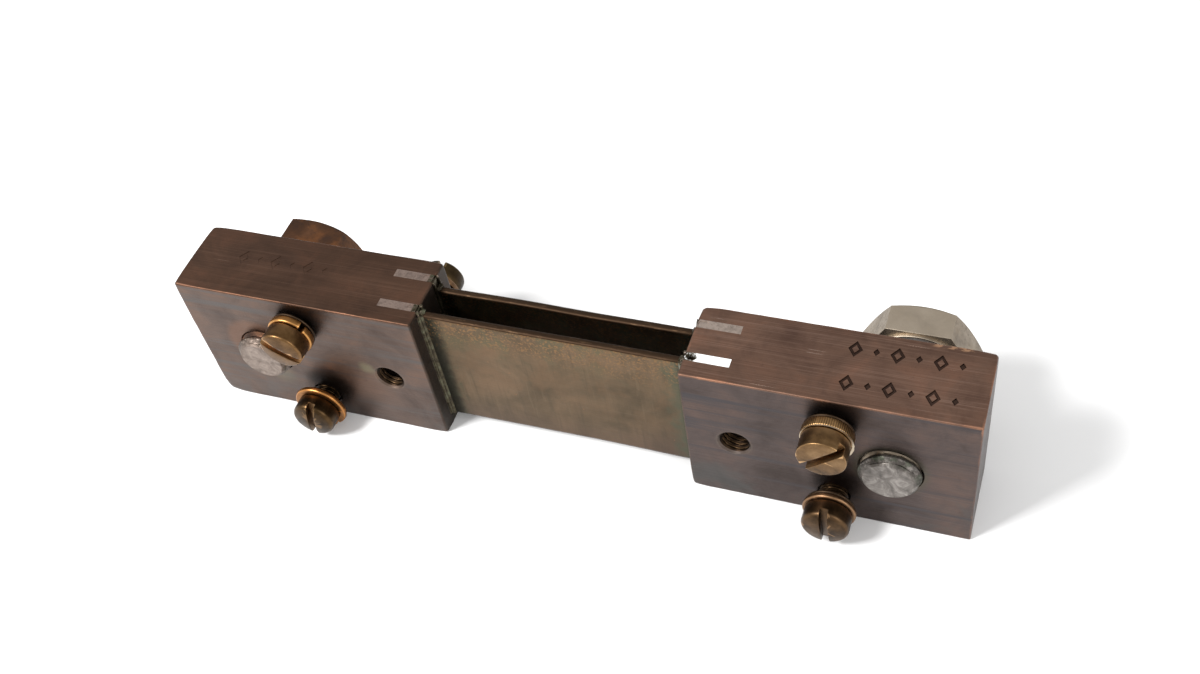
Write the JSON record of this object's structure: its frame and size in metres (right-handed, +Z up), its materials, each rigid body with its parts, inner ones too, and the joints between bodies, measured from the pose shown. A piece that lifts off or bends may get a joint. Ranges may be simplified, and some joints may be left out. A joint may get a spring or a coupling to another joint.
{
  "type": "battery monitor shunt",
  "caption": "Direct-current shunt for a battery monitor: bar-shaped end blocks joined by thin parallel resistance strips, with hex load bolts and slotted sense-wire screws.",
  "frame": {"origin": "midway between the blocks along the length, at mid depth of the blocks, on the surface the blocks stand on", "axes": "+X along the shunt towards the right block, +Y from the front face with the sense screws to the back face with the hex heads, +Z up"},
  "size_m": [0.1334, 0.0329, 0.0286],
  "materials": {
    "left_copper": "oxidised copper, dark brown, brushed",
    "right_copper": "oxidised copper, red brown, brushed along its length",
    "strip_alloy": "resistance alloy, olive tan, satin",
    "solder": "silver solder, dull",
    "left_bolt_metal": "steel with a brown, coppery tarnish",
    "right_bolt_metal": "plated steel, dull silver",
    "lock_steel": "dark spring steel",
    "screw_brass": "aged brass",
    "washer_brass": "worn golden brass",
    "washer_plain": "plated steel, dull"
  },
  "bodies": {
    "blocks_and_strips": {"left_block": "left_copper", "right_block": "right_copper", "front_strip": "strip_alloy", "rear_strip": "strip_alloy", "left_front_solder": "solder", "left_rear_solder": "solder", "right_front_solder": "solder", "right_rear_solder": "solder"},
    "left_upper_screw_washers_body": {"left_upper_lock_washer": "washer_brass", "left_upper_flat_washer": "washer_plain"},
    "left_upper_screw_body": {"left_upper_screw": "screw_brass"},
    "left_lower_screw_washers_body": {"left_lower_lock_washer": "washer_brass", "left_lower_flat_washer": "washer_plain"},
    "left_lower_screw_body": {"left_lower_screw": "screw_brass"},
    "right_upper_screw_washers_body": {"right_upper_lock_washer": "washer_brass", "right_upper_flat_washer": "washer_plain"},
    "right_upper_screw_body": {"right_upper_screw": "screw_brass"},
    "right_lower_screw_washers_body": {"right_lower_lock_washer": "washer_brass", "right_lower_flat_washer": "washer_plain"},
    "right_lower_screw_body": {"right_lower_screw": "screw_brass"},
    "left_bolt_washer_body": {"left_bolt_washer": "lock_steel"},
    "left_bolt_body": {"left_bolt": "left_bolt_metal"},
    "right_bolt_washer_body": {"right_bolt_washer": "lock_steel"},
    "right_bolt_body": {"right_bolt": "right_bolt_metal"},
    "base_screw_washer_body": {"base_screw_washer": "washer_brass"},
    "base_screw_body": {"base_screw": "screw_brass"}
  },
  "joints": [
    {"name": "left_upper_screw_travel", "type": "slide", "parent": "blocks_and_strips", "child": "left_upper_screw_washers_body", "axis": [0, -1, 0], "range_m": [-0.00049, 0.00893]},
    {"name": "left_upper_screw_turn", "type": "hinge", "parent": "left_upper_screw_washers_body", "child": "left_upper_screw_body", "pos_m": [-0.04482, -0.007, 0.0229], "axis": [0, -1, 0], "range_deg": [-220, 4050]},
    {"name": "left_lower_screw_travel", "type": "slide", "parent": "blocks_and_strips", "child": "left_lower_screw_washers_body", "axis": [0, -1, 0], "range_m": [-0.00169, 0.00805]},
    {"name": "left_lower_screw_turn", "type": "hinge", "parent": "left_lower_screw_washers_body", "child": "left_lower_screw_body", "pos_m": [-0.04453, -0.007, 0.00485], "axis": [0, -1, 0], "range_deg": [-765, 3650]},
    {"name": "right_upper_screw_travel", "type": "slide", "parent": "blocks_and_strips", "child": "right_upper_screw_washers_body", "axis": [0, -1, 0], "range_m": [-0.00074, 0.00838]},
    {"name": "right_upper_screw_turn", "type": "hinge", "parent": "right_upper_screw_washers_body", "child": "right_upper_screw_body", "pos_m": [0.04517, -0.007, 0.0229], "axis": [0, -1, 0], "range_deg": [-335, 3800]},
    {"name": "right_lower_screw_travel", "type": "slide", "parent": "blocks_and_strips", "child": "right_lower_screw_washers_body", "axis": [0, -1, 0], "range_m": [-0.00204, 0.00772]},
    {"name": "right_lower_screw_turn", "type": "hinge", "parent": "right_lower_screw_washers_body", "child": "right_lower_screw_body", "pos_m": [0.04553, -0.007, 0.0053], "axis": [0, -1, 0], "range_deg": [-925, 3500]},
    {"name": "left_bolt_travel", "type": "slide", "parent": "blocks_and_strips", "child": "left_bolt_washer_body", "axis": [0, 1, 0], "range_m": [-0.00117, 0.01433]},
    {"name": "left_bolt_turn", "type": "hinge", "parent": "left_bolt_washer_body", "child": "left_bolt_body", "pos_m": [-0.05343, 0.007, 0.01429], "axis": [0, 1, 0], "range_deg": [-265, 3250]},
    {"name": "right_bolt_travel", "type": "slide", "parent": "blocks_and_strips", "child": "right_bolt_washer_body", "axis": [0, 1, 0], "range_m": [-0.00326, 0.01398]},
    {"name": "right_bolt_turn", "type": "hinge", "parent": "right_bolt_washer_body", "child": "right_bolt_body", "pos_m": [0.05412, 0.007, 0.01429], "axis": [0, 1, 0], "range_deg": [-740, 3170]},
    {"name": "base_screw_travel", "type": "slide", "parent": "blocks_and_strips", "child": "base_screw_washer_body", "axis": [0, 1, 0], "range_m": [-0.00606, 0.00419]},
    {"name": "base_screw_turn", "type": "hinge", "parent": "base_screw_washer_body", "child": "base_screw_body", "pos_m": [-0.03002, 0.007, 0.0132], "axis": [0, 1, 0], "range_deg": [-2750, 1900]}
  ],
  "couplings": [
    {"joint": "left_upper_screw_turn", "follows": "left_upper_screw_travel", "rad_per_m": 7915.8},
    {"joint": "left_lower_screw_turn", "follows": "left_lower_screw_travel", "rad_per_m": 7915.8},
    {"joint": "right_upper_screw_turn", "follows": "right_upper_screw_travel", "rad_per_m": 7915.8},
    {"joint": "right_lower_screw_turn", "follows": "right_lower_screw_travel", "rad_per_m": 7915.8},
    {"joint": "left_bolt_turn", "follows": "left_bolt_travel", "rad_per_m": 3957.9},
    {"joint": "right_bolt_turn", "follows": "right_bolt_travel", "rad_per_m": 3957.9},
    {"joint": "base_screw_turn", "follows": "base_screw_travel", "rad_per_m": 7915.8}
  ]
}
